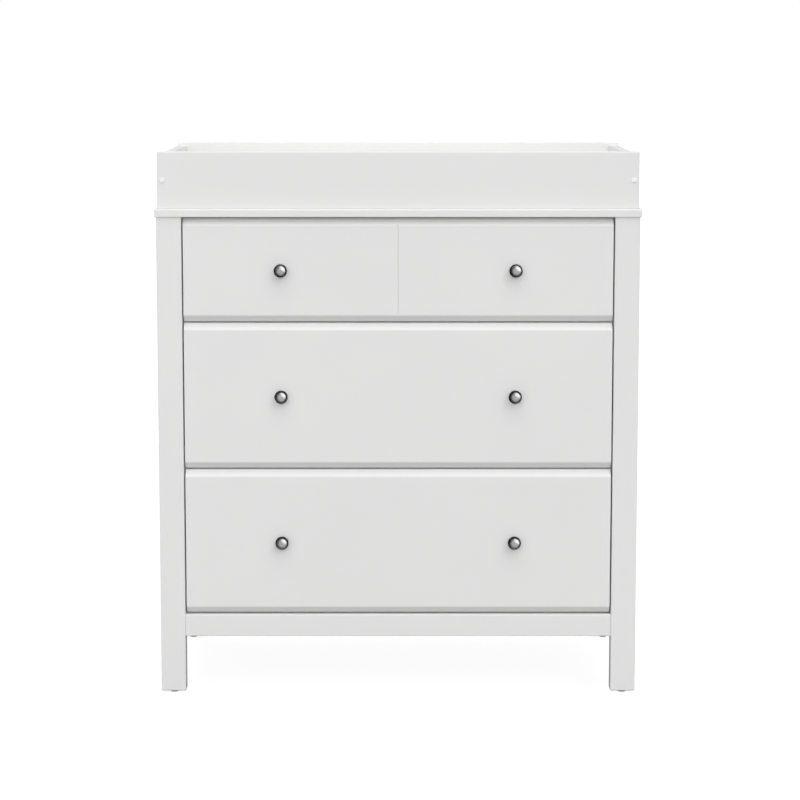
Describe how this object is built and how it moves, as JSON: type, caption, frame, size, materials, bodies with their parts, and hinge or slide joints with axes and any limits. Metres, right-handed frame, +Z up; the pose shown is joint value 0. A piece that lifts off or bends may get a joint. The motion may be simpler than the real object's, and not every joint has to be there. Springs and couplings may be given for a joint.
{
  "type": "changing table",
  "caption": "Free-standing white dresser with roller-slide drawers, round metal knobs, straight legs and an open-topped changing tray on its top.",
  "frame": {"origin": "on the floor, at the middle of the whole object's box", "axes": "+X to the right as seen from the front, the drawer fronts face -Y, +Z up"},
  "size_m": [0.914, 0.4876, 1.037],
  "materials": {
    "white_paint": "satin white paint over wood and fibreboard",
    "drawer_box": "matt white laminate",
    "back_board": "bare hardboard, white on its inner face",
    "bare_wood": "bare poplar",
    "satin_nickel": "satin nickel plating",
    "zinc_steel": "bright zinc plating",
    "coated_steel": "white epoxy coat",
    "roller_nylon": "natural nylon",
    "glide_plastic": "moulded grey-white plastic",
    "cap_plastic": "moulded white plastic"
  },
  "bodies": {
    "case": {"left_front_leg": "white_paint", "right_front_leg": "white_paint", "left_rear_leg": "white_paint", "right_rear_leg": "white_paint", "left_side_panel": "white_paint", "right_side_panel": "white_paint", "top_panel": "white_paint", "back_panel": "back_board", "front_top_rail": "white_paint", "front_bottom_rail": "white_paint", "front_stretcher": "white_paint", "upper_divider_rail": "white_paint", "lower_divider_rail": "white_paint", "rear_top_rail": "white_paint", "rear_bottom_rail": "white_paint", "slide_cleats": "bare_wood", "left_case_slides": "coated_steel", "right_case_slides": "coated_steel", "leg_glides": "glide_plastic", "cam_bolts": "zinc_steel", "cam_nuts": "zinc_steel", "case_screws": "zinc_steel", "tray_front_board": "white_paint", "tray_rear_board": "white_paint", "tray_left_board": "white_paint", "tray_right_board": "white_paint", "tray_fasteners": "zinc_steel", "tray_bolt_caps": "cap_plastic", "tray_straps": "zinc_steel", "anti_tip_bracket": "zinc_steel"},
    "lower_drawer": {"lower_drawer_front": "white_paint", "lower_drawer_left_side": "drawer_box", "lower_drawer_right_side": "drawer_box", "lower_drawer_back": "drawer_box", "lower_drawer_bottom": "drawer_box", "lower_drawer_knobs": "satin_nickel", "lower_drawer_slides": "coated_steel", "lower_drawer_fasteners": "zinc_steel"},
    "lower_case_roller_pair": {"lower_case_rollers": "roller_nylon"},
    "lower_drawer_roller_pair": {"lower_drawer_rollers": "roller_nylon"},
    "middle_drawer": {"middle_drawer_front": "white_paint", "middle_drawer_left_side": "drawer_box", "middle_drawer_right_side": "drawer_box", "middle_drawer_back": "drawer_box", "middle_drawer_bottom": "drawer_box", "middle_drawer_knobs": "satin_nickel", "middle_drawer_slides": "coated_steel", "middle_drawer_fasteners": "zinc_steel"},
    "middle_case_roller_pair": {"middle_case_rollers": "roller_nylon"},
    "middle_drawer_roller_pair": {"middle_drawer_rollers": "roller_nylon"},
    "upper_drawer": {"upper_drawer_front": "white_paint", "upper_drawer_left_side": "drawer_box", "upper_drawer_right_side": "drawer_box", "upper_drawer_back": "drawer_box", "upper_drawer_bottom": "drawer_box", "upper_drawer_knobs": "satin_nickel", "upper_drawer_slides": "coated_steel", "upper_drawer_fasteners": "zinc_steel"},
    "upper_case_roller_pair": {"upper_case_rollers": "roller_nylon"},
    "upper_drawer_roller_pair": {"upper_drawer_rollers": "roller_nylon"}
  },
  "joints": [
    {"name": "lower_drawer_slide", "type": "slide", "parent": "case", "child": "lower_drawer", "axis": [0, -1, 0], "range_m": [0, 0.3]},
    {"name": "middle_drawer_slide", "type": "slide", "parent": "case", "child": "middle_drawer", "axis": [0, -1, 0], "range_m": [0, 0.3]},
    {"name": "upper_drawer_slide", "type": "slide", "parent": "case", "child": "upper_drawer", "axis": [0, -1, 0], "range_m": [0, 0.3]},
    {"name": "lower_case_roller_spin", "type": "hinge", "parent": "case", "child": "lower_case_roller_pair", "pos_m": [0, -0.18325, 0.1818], "axis": [1, 0, 0], "continuous": true},
    {"name": "lower_drawer_roller_spin", "type": "hinge", "parent": "lower_drawer", "child": "lower_drawer_roller_pair", "pos_m": [0, 0.18275, 0.1818], "axis": [1, 0, 0], "continuous": true},
    {"name": "middle_case_roller_spin", "type": "hinge", "parent": "case", "child": "middle_case_roller_pair", "pos_m": [0, -0.18325, 0.4623], "axis": [1, 0, 0], "continuous": true},
    {"name": "middle_drawer_roller_spin", "type": "hinge", "parent": "middle_drawer", "child": "middle_drawer_roller_pair", "pos_m": [0, 0.18275, 0.4623], "axis": [1, 0, 0], "continuous": true},
    {"name": "upper_case_roller_spin", "type": "hinge", "parent": "case", "child": "upper_case_roller_pair", "pos_m": [0, -0.18325, 0.7428], "axis": [1, 0, 0], "continuous": true},
    {"name": "upper_drawer_roller_spin", "type": "hinge", "parent": "upper_drawer", "child": "upper_drawer_roller_pair", "pos_m": [0, 0.18275, 0.7428], "axis": [1, 0, 0], "continuous": true}
  ],
  "couplings": [
    {"joint": "lower_case_roller_spin", "follows": "lower_drawer_slide", "rad_per_m": 81.3},
    {"joint": "lower_drawer_roller_spin", "follows": "lower_drawer_slide", "rad_per_m": 81.3},
    {"joint": "middle_case_roller_spin", "follows": "middle_drawer_slide", "rad_per_m": 81.3},
    {"joint": "middle_drawer_roller_spin", "follows": "middle_drawer_slide", "rad_per_m": 81.3},
    {"joint": "upper_case_roller_spin", "follows": "upper_drawer_slide", "rad_per_m": 81.3},
    {"joint": "upper_drawer_roller_spin", "follows": "upper_drawer_slide", "rad_per_m": 81.3}
  ]
}
